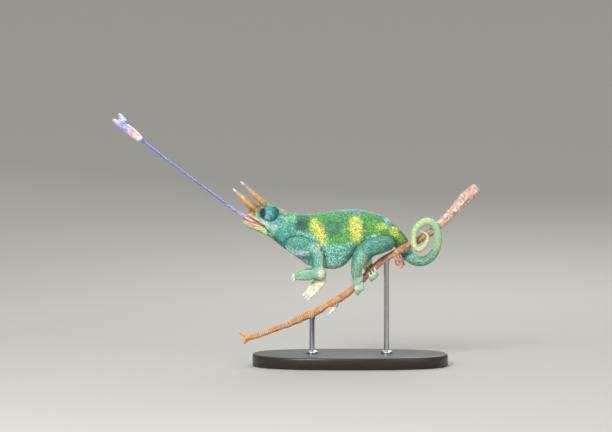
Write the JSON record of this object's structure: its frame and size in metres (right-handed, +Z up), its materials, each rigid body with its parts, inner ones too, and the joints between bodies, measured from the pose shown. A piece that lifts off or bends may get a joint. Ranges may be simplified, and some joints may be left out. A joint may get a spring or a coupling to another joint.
{
  "type": "chameleon figure",
  "caption": "Life-size three-horned chameleon gripping a sloping perch with its hind feet, tongue shot out and tail coiled, on a plain base with rods.",
  "frame": {"origin": "centre of the stand base's underside", "axes": "+X from head to tail, -Y out of the animal's left side, +Z up"},
  "size_m": [0.2841, 0.086, 0.1938],
  "materials": {
    "skin_teal": "soft tissue under small blue-green scales",
    "skin_green": "soft tissue under leaf-green scales with two yellow bands",
    "skin_pale": "soft tissue under pale yellow-green scales",
    "sole": "cream scaly soles",
    "horn": "tan ringed horn, paler at the tip",
    "tongue": "wet pink flesh",
    "tongue_stalk": "wet bluish flesh",
    "eye": "glossy dark eye",
    "bark": "thin reddish-brown bark",
    "stand": "matt black lacquered wood",
    "rod": "satin"
  },
  "bodies": {
    "root": {"eye_left": "eye", "eye_right": "eye", "eyelid_left": "skin_teal", "eyelid_right": "skin_teal", "foot_left": "skin_teal", "foot_left_inner_toes": "sole", "foot_right": "skin_teal", "foot_right_inner_toes": "sole", "forearm_left": "skin_teal", "forearm_right": "skin_teal", "hand_left": "skin_teal", "hand_left_inner_toes": "sole", "hand_right": "skin_teal", "hand_right_inner_toes": "sole", "head": "skin_teal", "horn_brow_left": "horn", "horn_brow_right": "horn", "horn_snout": "horn", "lower_jaw": "skin_pale", "neck": "skin_teal", "perch": "bark", "shank_left": "skin_teal", "shank_right": "skin_teal", "stand_base": "stand", "stand_rod_front": "rod", "stand_rod_rear": "rod", "tail_1": "skin_teal", "tail_2": "skin_teal", "tail_3": "skin_pale", "tail_4": "skin_pale", "tail_5": "skin_pale", "thigh_left": "skin_teal", "thigh_right": "skin_teal", "tongue_club": "tongue", "tongue_root": "tongue", "tongue_stalk": "tongue_stalk", "torso": "skin_green", "upper_arm_left": "skin_teal", "upper_arm_right": "skin_teal"}
  },
  "joints": []
}
